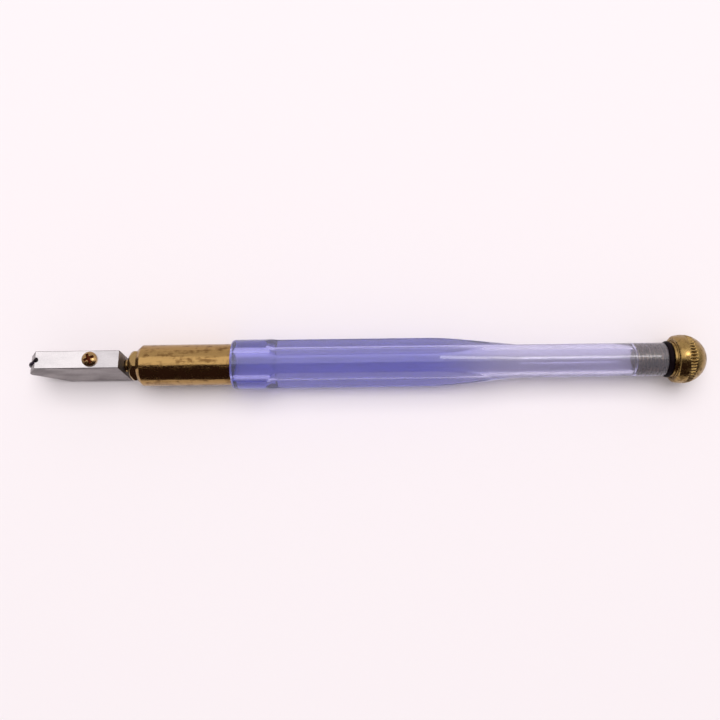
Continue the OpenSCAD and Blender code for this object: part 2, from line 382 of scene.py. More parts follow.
@dataclass(frozen=True)
class Brass(Finish):
    """Brass with turning rings, drawn-out polishing streaks and brown tarnish."""

    tarnish: Colour = (0.16, 0.07, 0.025)
    tarnish_from: float = 0.6
    tarnish_share: float = 0.7
    streak: tuple[float, float, float] = (0.22, 1.6, 1.6)
    wave_depth: float = 0.05
    ring_depth: float = 0.0015
    mottle: float = 0.9

    def draw(self, shader: Shader) -> None:
        """Draws the brass and its tarnish."""
        streaks = shader.noise(shader.place(self.streak), 1.0, 4.0, 0.62)
        mottle = shader.noise(shader.place(), self.mottle, 4.0, 0.6)
        rings = shader.noise(shader.place((11.0, 0.15, 0.15)), 1.0, 2.0, 0.5)
        stain = shader.curve(shader.math("MULTIPLY", shader.math("ADD", streaks, mottle), 0.5),
                             self.tarnish_from, self.tarnish_from + 0.12, 0.0, self.tarnish_share)
        shader.set(Base_Color=shader.blend(stain, self.colour, self.tarnish),
                   Metallic=1.0,
                   Roughness=shader.curve(shader.math("ADD", mottle, stain), 0.3, 1.4,
                                          self.roughness * 0.8, self.roughness * 2.2))
        height = shader.math("ADD", shader.math("MULTIPLY", streaks, self.wave_depth),
                             shader.math("MULTIPLY", rings, self.ring_depth))
        shader.relief(height, 1.0)


@dataclass(frozen=True)
class Rubber(Finish):
    """Black sealing rubber with a faint bloom and the grain of its mould."""

    bloom: Colour = (0.008, 0.004, 0.006)

    def draw(self, shader: Shader) -> None:
        """Draws the rubber."""
        grain = shader.noise(shader.place(), 6.0, 2.0)
        bloom = shader.curve(shader.noise(shader.place(), 0.7), 0.4, 0.8)
        shader.set(Base_Color=shader.blend(bloom, self.colour, self.bloom),
                   Roughness=shader.curve(grain, 0.3, 0.7, self.roughness * 0.85,
                                          self.roughness * 1.2),
                   Specular_IOR_Level=0.05)
        shader.relief(grain, 0.01, 0.6)


@dataclass(frozen=True)
class ClearPlastic(Finish):
    """Tinted, slightly milky plastic: the thick grip looks deep in colour and the thin tail pale."""

    pale: Colour = (0.86, 0.84, 0.95)
    pale_from: float = 60.0
    pale_to: float = 82.0
    tint: Colour = (0.3, 0.32, 0.9)
    density: float = 92.0
    clearness: float = 0.91
    wave_depth: float = 0.0012
    flow: tuple[float, float, float] = (0.06, 0.9, 0.9)

    def draw(self, shader: Shader) -> None:
        """Draws the moulded surface and the tint inside it."""
        flow = shader.noise(shader.place(self.flow), 1.0, 3.0, 0.6)
        grain = shader.noise(shader.place((1.0, 3.0, 3.0)), 2.5, 2.0)
        thin = shader.curve(shader.along(), self.pale_from, self.pale_to)
        darker = tuple(c * 0.95 for c in self.colour)
        clouded = shader.blend(shader.curve(flow, 0.3, 0.75), self.colour, darker)
        shader.set(Base_Color=shader.blend(thin, clouded, self.pale), IOR=1.49,
                   Roughness=shader.curve(flow, 0.3, 0.8, self.roughness * 0.7, self.roughness * 1.5),
                   Transmission_Weight=self.clearness)
        shader.relief(shader.math("ADD", flow, shader.math("MULTIPLY", grain, 0.15)), self.wave_depth)
        inside = shader.add("ShaderNodeVolumeAbsorption", {"Color": (*self.tint, 1),
                                                           "Density": self.density})
        shader.fill(shader.output.inputs["Volume"], inside.outputs[0])


@dataclass(frozen=True)
class Matt(Finish):
    """An even, dull surface for the floor and the studio's cards."""

    def draw(self, shader: Shader) -> None:
        """Draws the dull surface."""
        shader.set(Base_Color=(*self.colour, 1), Roughness=self.roughness, Specular_IOR_Level=0.1)


EDGE_STEEL = GroundSteel("ground_edge_steel", "head_steel", (0.64, 0.61, 0.62), 0.24,
                         shade=(0.46, 0.44, 0.45), dull_from=-25.0)
# Broad faces: rougher steel, with a darker colour that is partly painted shade of the shadowed floor they
# face
ROUGH_SHADED_SIDE_STEEL = GroundSteel("rough_shaded_side_steel", "head_steel", (0.33, 0.3, 0.3), 0.42,
                         shade=(0.24, 0.22, 0.22), grain=(1.6, 1.6, 9.0))
# The wheel's near-black colour is painted shade of the slot it turns in
SLOT_SHADED_CARBIDE = GroundSteel("slot_shaded_carbide", "carbide", (0.03, 0.02, 0.035), 0.35,
                      shade=(0.015, 0.01, 0.02))
PIN_STEEL = GroundSteel("turned_pin_steel", "pin_steel", (0.3, 0.29, 0.3), 0.3,
                        shade=(0.15, 0.14, 0.15))
SPRING_STEEL = GroundSteel("drawn_spring_wire", "spring_steel", (0.62, 0.62, 0.64), 0.18,
                           grain=(3.0, 3.0, 3.0), grain_depth=0.002)
SCREW_BRASS = Brass("rolled_screw_brass", "screw_brass", (0.36, 0.23, 0.1), 0.24,
                    streak=(1.5, 1.5, 1.5), wave_depth=0.02, tarnish_from=0.52)
# Near-black brass for the screw's cross recess: painted shade in the recess
RECESS_SHADE_BRASS = Brass("painted_shade_recess_brass", "screw_brass", (0.07, 0.015, 0.006), 0.5,
                    streak=(1.5, 1.5, 1.5), wave_depth=0.02, tarnish=(0.03, 0.006, 0.003))
TURNED_BRASS = Brass("bright_turned_brass", "turned_brass", (0.38, 0.25, 0.1), 0.2, wave_depth=0.02)
BARREL_BRASS = Brass("polished_barrel_brass", "barrel_brass", (0.37, 0.23, 0.085), 0.15,
                     streak=(0.12, 1.8, 1.8), mottle=0.6, tarnish=(0.1, 0.04, 0.01),
                     tarnish_from=0.49)
CAP_BRASS = Brass("aged_cap_brass", "cap_brass", (0.33, 0.215, 0.075), 0.27,
                  streak=(0.9, 0.9, 0.9), wave_depth=0.04, ring_depth=0.0,
                  tarnish=(0.15, 0.085, 0.03), tarnish_from=0.5, tarnish_share=0.4)
STEM_BRASS = Brass("oiled_stem_brass", "cap_brass", (0.33, 0.25, 0.17), 0.45,
                   wave_depth=0.01, ring_depth=0.0,
                   tarnish=(0.16, 0.11, 0.075), tarnish_from=0.5, tarnish_share=0.5)
SEAL_RUBBER = Rubber("black_seal_rubber", "seal_rubber", (0.004, 0.0015, 0.0025), 0.5)
PLASTIC = ClearPlastic("tinted_handle_plastic", "handle_plastic", (0.72, 0.71, 1.0), 0.03)


# ---------------------------------------------------------------- mesh building


def new_piece(name: str, mesh: bpy.types.Mesh) -> Piece:
    """Puts a mesh in the scene as a piece whose object sits at the origin."""
    piece = bpy.data.objects.new(name, mesh)
    bpy.context.scene.collection.objects.link(piece)
    return piece


def new_surface(name: str, points: Sequence, faces: Sequence) -> Piece:
    """Makes a piece from its points, in metres, and its faces."""
    mesh = bpy.data.meshes.new(name)
    mesh.from_pydata(points, [], faces)
    return new_piece(name, mesh)


def new_solid(name: str, points: Sequence, faces: Sequence) -> Piece:
    """Makes a closed piece from its points, in metres, and turns its faces outwards."""
    piece = new_surface(name, points, faces)
    work = bmesh.new()
    work.from_mesh(piece.data)
    bmesh.ops.recalc_face_normals(work, faces=work.faces)
    work.to_mesh(piece.data)
    work.free()
    return piece


def smooth(piece: Piece, crease: float = CREASE) -> Piece:
    """Shades a piece smooth, except along edges sharper than `crease` degrees."""
    piece.data.shade_smooth()
    piece.data.set_sharp_from_angle(angle=math.radians(crease))
    return piece


def soften(corners: Sequence[Point], radius: float, steps: int = 3) -> list[Point]:
    """Rounds the corners of a closed outline.

    Args:
        corners: (radius, x) pairs in millimetres.
        radius: how far from each corner the rounding starts.
        steps: how many pieces each rounding is drawn in.

    Returns:
        The outline with its corners rounded. Corners on the axis stay as they are.
    """
    count = len(corners)
    outline: list[Point] = []
    for i, corner in enumerate(corners):
        if corner[0] <= 0:
            outline.append(corner)
            continue
        here = np.array(corner, float)
        ends = []
        for other in (corners[i - 1], corners[(i + 1) % count]):
            way = np.array(other, float) - here
            length = float(np.hypot(*way))
            ends.append(here + way / length * min(radius, 0.45 * length))
        for k in range(steps + 1):
            t = k / steps
            spot = (1 - t) ** 2 * ends[0] + 2 * t * (1 - t) * here + t * t * ends[1]
            outline.append((float(spot[0]), float(spot[1])))
    return outline


def turned(name: str, outline: Sequence[Point], segments: int = 96,
           place: Callable[[np.ndarray], np.ndarray] = lambda points: points) -> Piece:
    """Turns a closed outline about the X axis.

    Args:
        name: the piece's name.
        outline: (radius, x) pairs in millimetres, all the way round the section.
        segments: how many sides the turned piece has.
        place: moves the points, in millimetres, from the X axis to where the piece is.

    Returns:
        The piece.
    """
    angles = np.arange(segments) * (2 * math.pi / segments)
    points: list[tuple[float, float, float]] = []
    rings: list[list[int]] = []
    for radius, x in outline:
        start = len(points)
        if radius <= 1e-6:
            points.append((x, 0.0, 0.0))
            rings.append([start] * segments)
            continue
        points.extend((x, radius * math.sin(a), radius * math.cos(a)) for a in angles)
        rings.append(list(range(start, start + segments)))
    faces = []
    for first, second in zip(rings, rings[1:] + rings[:1]):
        for i in range(segments):
            j = (i + 1) % segments
            corners = [first[i], first[j], second[j], second[i]]
            face = list(dict.fromkeys(corners))
            if len(face) > 2:
                faces.append(face)
    return smooth(new_solid(name, (place(np.array(points)) * MM).tolist(), faces))


def evenly(radius: float, start: float, end: float, count: int, ends: bool = False) -> list[Point]:
    """Gives evenly spaced points of an outline along X, with or without the first and the last."""
    places = np.linspace(start, end, count)
    return [(radius, float(x)) for x in (places if ends else places[1:-1])]


def seal(name: str, mean: float, radius: float, x: float) -> Piece:
    """Makes a round sealing ring on the tool's axis.

    Args:
        name: the piece's name.
        mean: the ring's mean radius.
        radius: half of its thickness.
        x: its place along the axis.

    Returns:
        The ring.
    """
    turns = 24
    outline = [(mean + radius * math.cos(2 * math.pi * k / turns),
                x + radius * math.sin(2 * math.pi * k / turns)) for k in range(turns)]
    return turned(name, outline)


def cad_copy(name: str, node: str, edge: float = 0.0) -> Piece:
    """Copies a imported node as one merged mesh, with its hard edges broken.

    Args:
        name: the new piece's name.
        node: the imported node.
        edge: width in millimetres of the narrow round along its hard edges.

    Returns:
        The piece.
    """
    piece = new_piece(name, frame["nodes"][node].data.copy())
    piece.data.materials.clear()
    work = bmesh.new()
    work.from_mesh(piece.data)
    bmesh.ops.remove_doubles(work, verts=work.verts, dist=0.0005 * MM)
    bmesh.ops.dissolve_limit(work, angle_limit=math.radians(0.4), verts=work.verts, edges=work.edges)
    work.to_mesh(piece.data)
    work.free()
    if "custom_normal" in piece.data.attributes:
        piece.data.attributes.remove(piece.data.attributes["custom_normal"])
    if edge:
        bevel = piece.modifiers.new("edge", "BEVEL")
        bevel.width = edge * MM
        bevel.segments = 2
        bevel.limit_method = "ANGLE"
        bevel.angle_limit = math.radians(HARD_EDGE)
        bevel.use_clamp_overlap = True
        bake(piece)
    smooth(piece)
    if edge:
        weighted = piece.modifiers.new("flat_faces", "WEIGHTED_NORMAL")
        weighted.mode = "FACE_AREA"
        weighted.weight = 100
        weighted.keep_sharp = True
        bake(piece)
    return piece


def thread_flank(rule: Rule, x: Socket, angle: Socket,
                 pitch: Socket) -> Socket:
    """Gives how deep a right-hand thread is at a point, from 0 on its crest to 1 at its root.

    Args:
        rule: the tree that the thread is part of.
        x: the point's place along the axis.
        angle: its angle about the axis.
        pitch: the thread's pitch.

    Returns:
        The depth, as a share of the thread's whole depth.
    """
    along = rule.math("DIVIDE", x, pitch)
    phase = rule.math("FRACT", rule.math("ADD", along, rule.math("DIVIDE", angle, 2 * math.pi)))
    off = rule.math("ABSOLUTE", rule.math("SUBTRACT", phase, 0.5))
    return rule.math("MINIMUM", rule.math("MULTIPLY", off, VEE_SHARPNESS), 1.0)


def settle(piece: Piece, body: Body, finish: Finish, *nodes: str) -> Piece:
    """Dresses a piece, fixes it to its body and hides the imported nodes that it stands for."""
    if not piece.data.materials:
        piece.data.materials.append(finish.make())
    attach(piece, body.value)
    if nodes:
        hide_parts(*nodes)
    LOG.info("%s: %d faces on %s", piece.name, len(piece.data.polygons), body.value)
    return piece


def dress(node: str, finish: Finish) -> None:
    """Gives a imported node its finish."""
    for holder in frame["nodes"][node].material_slots:
        holder.material = finish.make()
    LOG.info("%s keeps its packed shape", node)


def low(node: str) -> Vector:
    """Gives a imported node's lowest corner, in millimetres."""
    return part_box(node)[0] / MM


def high(node: str) -> Vector:
    """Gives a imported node's highest corner, in millimetres."""
    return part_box(node)[1] / MM


# ---------------------------------------------------------------- the tool's sub-assemblies


@dataclass
class CuttingHead:
    """The ground steel head with its screw, its axle and the wheel that cuts."""

    edge: float = 0.1
    wheel_d: float = 4.0
    wheel_t: float = 1.0
    wheel_angle: float = 140.0
    axle_d: float = 0.9
    axle_edge: float = 0.12
    running: float = 0.05
    screw_edge: float = 0.05
    screw_dome_r: float = 2.91
    recess_reach: float = 1.38
    roll: float = 16.5
    edge_face_turn: float = 0.85
    recess_depth: float = 0.65
    recess_below: float = 0.05
    recess_above: float = 0.12

    def axle_place(self) -> Callable[[np.ndarray], np.ndarray]:
        """Gives the move from the X axis to the wheel's own axis, read from the wheel's joint."""
        joint = next(j for j in frame["joints"] if j["name"] == "wheel_spin")
        turn = Vector((1, 0, 0)).rotation_difference(Vector(joint["axis"])).to_matrix()
        centre = np.array(joint["pos_m"]) / MM
        return lambda points: points @ np.array(turn).T + centre

    def screw_axis(self) -> Vector:
        """Gives the way that the head's screw points."""
        roll = math.radians(self.roll)
        return Vector((0, math.sin(roll), math.cos(roll)))

    def build_block(self) -> None:
        """Builds the steel block with its slot: bright narrow faces, and rougher broad ones darkened with
        painted shade.
        """
        block = cad_copy("head_block", "cutter_head", self.edge)
        for finish in (EDGE_STEEL, ROUGH_SHADED_SIDE_STEEL):
            block.data.materials.append(finish.make())
        axis = self.screw_axis()
        # Faces that don't face along the screw take the rough broad-face steel, darker with painted shade
        for face in block.data.polygons:
            face.material_index = int(abs(face.normal.dot(axis)) < self.edge_face_turn)
        settle(block, Body.HEAD, EDGE_STEEL, "cutter_head")

    def build_screw(self) -> None:
        """Builds the pan-head screw, with painted shade in its cross recess."""
        screw = cad_copy("pan_screw", "head_screw", self.screw_edge)
        screw.data.materials.append(SCREW_BRASS.make())
        screw.data.materials.append(RECESS_SHADE_BRASS.make())
        axis = self.screw_axis()
        middle = (low("head_screw") + high("head_screw")) / 2
        top = max(corner.co.dot(axis) for corner in screw.data.vertices) / MM
        floor = top - self.recess_depth - self.recess_below
        # Faces inside the cross recess take the near-black brass: painted shade
        for face in screw.data.polygons:
            spot = face.center / MM
            height = spot.dot(axis)
            off = math.hypot(spot.x - middle.x, spot.cross(axis).x)
            dome = top - off ** 2 / (2 * self.screw_dome_r)
            if off < self.recess_reach and floor < height < dome - self.recess_above:
                face.material_index = 1
        settle(screw, Body.HEAD, SCREW_BRASS, "head_screw")

    def build_wheel(self) -> None:
        """Builds the wheel, bevelled on both sides to its cutting edge, and its axle."""
        radius = self.wheel_d / 2
        half = self.wheel_t / 2
        rim = radius - half / math.tan(math.radians(self.wheel_angle / 2))
        bore = self.axle_d / 2 + self.running
        outline = [(bore, -half), (rim, -half), (radius, 0.0), (rim, half), (bore, half)]
        place = self.axle_place()
        # The wheel's near-black finish is painted shade of its slot
        settle(turned("wheel", outline, 72, place), Body.WHEEL, SLOT_SHADED_CARBIDE, "cutting_wheel")
        roll = math.radians(self.roll)
        length = (high("wheel_axle") - low("wheel_axle")).y / math.cos(roll)
        reach = (length - self.axle_d * math.tan(roll)) / 2
        side = self.axle_d / 2
        pin = soften([(0, -reach), (side, -reach), (side, reach), (0, reach)], self.axle_edge)
        settle(turned("axle_pin", pin, 36, place), Body.HEAD, PIN_STEEL, "wheel_axle")

    def build(self) -> None:
        """Builds every piece of the head."""
        self.build_block()
        self.build_screw()
        self.build_wheel()


@dataclass
class Nose:
    """The brass spindle, the nut that it slides in and the oil valve behind it."""

    nut_edge: float = 0.08

    def build(self) -> None:
        """Builds the spindle and the nut, and dresses the valve's hidden parts."""
        settle(cad_copy("spindle_rod", "spindle", 0.0), Body.PLUNGER, TURNED_BRASS, "spindle")
        settle(cad_copy("hexagon_nut", "nose_nut", self.nut_edge), Body.GRIP, TURNED_BRASS, "nose_nut")
        for node in ("valve_cap", "seal_washer", "valve_seat", "spring_retainer"):
            dress(node, TURNED_BRASS)
        for node in ("valve_pad", "spindle_seal", "barrel_seal"):
            dress(node, SEAL_RUBBER)


@dataclass
class ReturnSpring:
    """The coil that pushes the spindle forward."""

    wire_r: float = 0.2
    coil_r: float = 2.2
    turns: int = 5
    steps_a_turn: int = 32
    wire_sides: int = 10
    coil_crease: float = 60.0

    def build(self) -> None:
        """Builds the coil along a helix."""
        front, back = low("return_spring").x + self.wire_r, high("return_spring").x - self.wire_r
        rule = Rule("coil_rule", {
            "Coil radius": self.coil_r * MM, "Wire radius": self.wire_r * MM,
            "Length": (back - front) * MM, "Front": front * MM, "Turns": self.turns})
        helix = rule.add("GeometryNodeCurveSpiral", {
            "Resolution": self.steps_a_turn, "Rotations": rule.size("Turns"),
            "Start Radius": rule.size("Coil radius"), "End Radius": rule.size("Coil radius"),
            "Height": rule.size("Length")})
        wire = rule.add("GeometryNodeCurvePrimitiveCircle", {
            "Resolution": self.wire_sides, "Radius": rule.size("Wire radius")})
        tube = rule.add("GeometryNodeCurveToMesh", {
            "Curve": helix.outputs[0], "Profile Curve": wire.outputs[0], "Fill Caps": True})
        shift = rule.add("ShaderNodeCombineXYZ", {"X": rule.size("Front")})
        laid = rule.add("GeometryNodeTransform", {
            "Geometry": tube.outputs[0], "Translation": shift.outputs[0],
            "Rotation": (0, math.radians(90), 0)})
        rule.finish(laid.outputs[0], SPRING_STEEL.make())
        coil = rule.apply(new_piece("return_coil", bpy.data.meshes.new("return_coil")))
        settle(smooth(coil, self.coil_crease), Body.GRIP, SPRING_STEEL, "return_spring")
        self.close_up(coil)

    def close_up(self, coil: Piece) -> None:
        """Gives the coil its own copy of its mesh."""
        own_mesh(coil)


@dataclass
class Barrel:
    """The turned brass barrel between the head and the handle."""

    radius: float = 5.45
    mouth_r: float = 4.4
    chamfer: float = 1.2
    inner_r: float = 3.5
    chamber_r: float = 3.4
    socket_r: float = 4.2
    web_r: float = 1.7
    web_front: float = -7.43
    web_back: float = -6.43
    chamber_end: float = 4.75
    edge: float = 0.18
    sides: int = 128

    def build(self) -> None:
        """Builds the barrel as one turned piece, bored through."""
        front, back = low("barrel").x, high("barrel").x
        outline = soften([
            (self.inner_r, front), (self.mouth_r, front), (self.radius, front + self.chamfer),
            (self.radius, back), (self.socket_r, back), (self.socket_r, self.chamber_end),
            (self.chamber_r, self.chamber_end), (self.chamber_r, self.web_back),
            (self.web_r, self.web_back), (self.web_r, self.web_front),
            (self.inner_r, self.web_front)], self.edge)
        settle(turned("brass_barrel", outline, self.sides), Body.GRIP, BARREL_BRASS, "barrel")


@dataclass
class Handle:
    """The hollow plastic handle: a turned blank with long flats cut in its grip and taper."""

    grip_l: float = 51.2
    tail_r: float = 4.4
    bore_r: float = 3.05
    spigot_r: float = 4.15
    collar_l: float = 8.6
    flat_depth: float = 5.1
    flat_count: int = 3
    first_flat: float = 60.0
    runout_l: float = 3.4
    edge_round: float = 0.25
    collar_edge: float = 0.9
    tail_edge: float = 0.35
    slope: float = 5.9
    bend_in: float = 60.0
    bend_out: float = 20.0
    land_rows: int = 8
    runout_rows: int = 28
    grip_rows: int = 14
    tail_rows: int = 16
    bore_rows: int = 24
    flat_columns: int = 10
    land_columns: int = 9
    flat_bunching: float = 1.6
    land_bunching: float = 1.5
    least_half_angle: float = 0.05
    bore_half_angle: float = 0.6
    bore_margin: float = 0.2
    crease: float = 40.0
    thread_l: float = 8.7
    thread_r: float = 2.96
    thread_depth: float = 0.42
    thread_pitch: float = 1.0
    rows_a_pitch: int = 14

    def measure(self) -> None:
        """Reads the handle's ends and its grip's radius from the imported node."""
        self.spigot_front = low("handle").x
        self.front = high("barrel").x
        self.back = high("handle").x
        self.grip_r = high("handle").z
        self.ramp_x = self.front + self.collar_l

    def taper_points(self) -> list[Point]:
        """Gives the outline where the grip narrows to the tail: an arc, a cone and an arc back."""
        slope = math.radians(self.slope)
        drop = self.grip_r - self.tail_r
        arcs = (self.bend_in + self.bend_out) * (1 - math.cos(slope))
        cone = (drop - arcs) / math.tan(slope)
        start = self.front + self.grip_l
        end = start + self.bend_in * math.sin(slope) + cone + self.bend_out * math.sin(slope)
        first = [(self.grip_r - self.bend_in * (1 - math.cos(a)), start + self.bend_in * math.sin(a))
                 for a in np.linspace(0, slope, 9)]
        last = [(self.tail_r + self.bend_out * (1 - math.cos(a)), end - self.bend_out * math.sin(a))
                for a in np.linspace(slope, 0, 6)]
        begin, finish = np.array(first[-1]), np.array(last[0])
        straight = np.linspace(0, 1, 12)[1:-1, None] * (finish - begin) + begin
        return first + [(float(r), float(x)) for r, x in straight] + last

    def outline(self) -> list[Point]:
        """Gives the section of the blank, along the outside from the spigot and back by the bore."""
        front, back, ramp_end = self.front, self.back, self.ramp_x + self.runout_l
        collar_edge, tail_edge = self.collar_edge, self.tail_edge
        taper = self.taper_points()
        spigot = [(self.bore_r, self.spigot_front), (self.spigot_r, self.spigot_front),
                  (self.spigot_r, front)]
        collar = [(self.grip_r - collar_edge * (1 - math.sin(a)), front + collar_edge * (1 - math.cos(a)))
                  for a in np.linspace(0, math.pi / 2, 8)]
        land = evenly(self.grip_r, front + collar_edge, self.ramp_x, self.land_rows)
        ramp = evenly(self.grip_r, self.ramp_x, ramp_end, self.runout_rows, ends=True)
        grip = evenly(self.grip_r, ramp_end, front + self.grip_l, self.grip_rows)
        slim = evenly(self.tail_r, taper[-1][1], back - tail_edge, self.tail_rows)
        tail = [(self.tail_r - tail_edge * (1 - math.cos(a)), back - tail_edge * (1 - math.sin(a)))
                for a in np.linspace(0, math.pi / 2, 6)]
        thread_rows = int(self.thread_l * self.rows_a_pitch)
        screwed = evenly(self.bore_r, back, back - self.thread_l, thread_rows, ends=True)
        plain = evenly(self.bore_r, back - self.thread_l, self.spigot_front, self.bore_rows)
        return spigot + collar + land + ramp + grip + taper + slim + tail + screwed + plain

    def depth_at(self, x: float) -> float:
        """Gives how far from the axis a flat lies at x."""
        share = min(max((x - self.ramp_x) / self.runout_l, 0.0), 1.0)
        return self.grip_r - (self.grip_r - self.flat_depth) * (1 - math.cos(math.pi * share)) / 2

    def columns(self, radius: float, x: float) -> np.ndarray:
        """Gives the angles of the points round the blank at x, some just on each flat's edges.

        Args:
            radius: the blank's radius at x.
            x: the place along the axis.

        Returns:
            The angles, from +Z towards +Y.
        """
        depth = self.depth_at(x)
        outside = radius > self.bore_r + self.bore_margin
        half = math.acos(min(depth / radius, 1.0)) if outside else self.bore_half_angle
        half = max(half, self.least_half_angle)
        sector = math.pi / self.flat_count
        flat = half * (1 - (1 - np.linspace(0, 1, self.flat_columns + 1)) ** self.flat_bunching)
        land = np.linspace(0, 1, self.land_columns + 1)[1:] ** self.land_bunching
        side = np.concatenate([flat, half + (sector - half) * land])
        one = np.concatenate([-side[:0:-1], side[:-1]])
        starts = math.radians(self.first_flat) + np.arange(self.flat_count) * 2 * sector
        return (starts[:, None] + one[None, :]).ravel()

    def blank(self) -> Piece:
        """Builds the turned blank, with its columns of points laid along the flats' coming edges."""
        outline = self.outline()
        rows = [self.columns(radius, x) for radius, x in outline]
        count = len(rows[0])
        points = [(x * MM, radius * MM * math.sin(a), radius * MM * math.cos(a))
                  for (radius, x), angles in zip(outline, rows) for a in angles]
        faces = []
        for i in range(len(rows)):
            k = (i + 1) % len(rows)
            for j in range(count):
                n = (j + 1) % count
                faces.append((i * count + j, k * count + j, k * count + n, i * count + n))
        return new_solid("plastic_handle", points, faces)

    def flat_rule(self) -> Rule:
        """Gives the tree that presses the blank's points in to the long flats.

        Returns:
            The rule, with the flats' number, depth, run-out and edge rounding as its inputs.
        """
        rule = Rule("long_flats_rule", {
            "Flats": self.flat_count, "First flat": math.radians(self.first_flat),
            "Flat depth": self.flat_depth * MM, "Grip radius": self.grip_r * MM,
            "Run-out start": self.ramp_x * MM, "Run-out length": self.runout_l * MM,
            "Edge rounding": self.edge_round * MM, "Bore radius": self.bore_r * MM,
            "Thread radius": self.thread_r * MM, "Thread depth": self.thread_depth * MM,
            "Thread pitch": self.thread_pitch * MM, "Thread start": (self.back - self.thread_l) * MM})
        maths, size = rule.math, rule.size
        x, angle, radius = rule.cylinder_place()
        sector = maths("DIVIDE", math.pi, size("Flats"))
        off = maths("WRAP", maths("SUBTRACT", angle, size("First flat")), sector,
                    maths("MULTIPLY", sector, -1.0))
        ramp = rule.share(x, size("Run-out start"), size("Run-out length"))
        swing = maths("COSINE", maths("MULTIPLY", rule.held(ramp), math.pi))
        sunk = maths("MULTIPLY", maths("SUBTRACT", 1.0, swing), 0.5)
        cut = maths("SUBTRACT", size("Grip radius"), size("Flat depth"))
        depth = maths("SUBTRACT", size("Grip radius"), maths("MULTIPLY", cut, sunk))
        reach = maths("DIVIDE", depth, maths("COSINE", off))
        softened = maths("SMOOTH_MIN", radius, reach, size("Edge rounding"))
        kept = rule.mix(maths("GREATER_THAN", ramp, 0.0), radius, softened)
        flank = thread_flank(rule, x, angle, size("Thread pitch"))
        ridge = maths("SUBTRACT", size("Thread radius"), maths("MULTIPLY", flank, size("Thread depth")))
        run = rule.held(rule.share(x, size("Thread start"), size("Thread pitch")))
        inside = maths("LESS_THAN", radius, maths("MULTIPLY", size("Bore radius"), 1.01))
        screwed = rule.mix(maths("MULTIPLY", run, inside), kept, ridge)
        rule.finish(rule.set_radius(angle, screwed, x), PLASTIC.make())
        return rule

    def build(self) -> None:
        """Builds the handle."""
        self.measure()
        handle = self.flat_rule().apply(self.blank())
        settle(smooth(handle, self.crease), Body.GRIP, PLASTIC, "handle")


